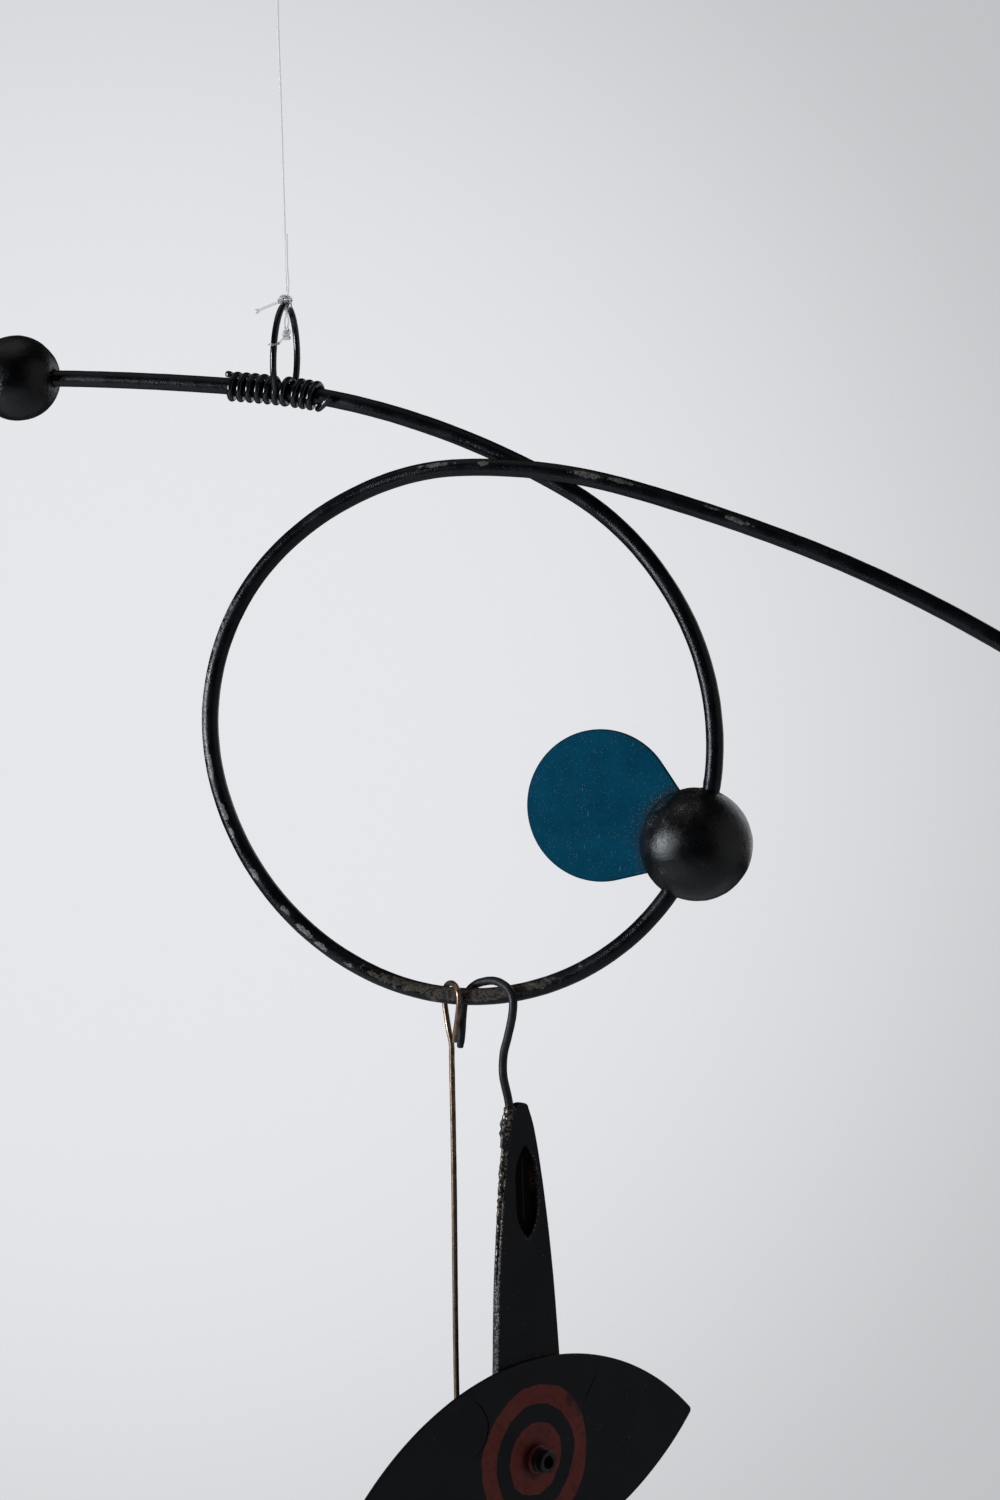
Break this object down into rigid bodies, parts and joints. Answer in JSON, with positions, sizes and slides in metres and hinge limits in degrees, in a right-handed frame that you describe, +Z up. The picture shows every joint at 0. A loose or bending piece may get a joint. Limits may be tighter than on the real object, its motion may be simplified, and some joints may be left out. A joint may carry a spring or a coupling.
{
  "type": "hanging mobile sculpture",
  "caption": "Hanging mobile of bent rod with a ring, threaded balls, a round petal, a hooked blade with an eye-shaped plate and a thin pendant, hung by a clear line.",
  "frame": {"origin": "top of the hanging line's loop, the point that the mobile hangs by", "axes": "+Z up, +X to the right along the rod as seen from the front, the front faces -Y"},
  "size_m": [0.7282, 0.1866, 0.8183],
  "materials": {
    "clear_line": "clear nylon monofilament, glossy",
    "rod_paint": "black brushed paint on steel rod, worn to grey-brown on the ring",
    "wire_paint": "semi-gloss black paint on steel wire",
    "counterweight_iron": "satin black paint on a solid iron ball",
    "ball_paint": "satin black paint on turned wood, brush marks show",
    "petal_paint": "deep teal satin paint with fine specks",
    "tarnished_bronze": "dark tarnished bronze wire with a light worn side",
    "brazed_steel": "dark steel wire with rough braze at its lower end",
    "plate_paint": "charcoal matte paint, hand-painted maroon rings round the post",
    "post_paint": "black paint with a dark red collar"
  },
  "bodies": {
    "root": {"hanging_line": "clear_line", "line_top_loop": "clear_line", "line_knot": "clear_line", "rod": "rod_paint", "eye_wire": "wire_paint", "counterweight_ball": "counterweight_iron", "small_ball": "ball_paint", "ring_ball": "ball_paint", "end_ball": "ball_paint", "petal": "petal_paint", "pendant_wire": "tarnished_bronze", "pendant_ball": "ball_paint", "hook_wire": "brazed_steel", "blade": "plate_paint", "eye_plate": "plate_paint", "centre_post": "post_paint"}
  },
  "joints": []
}
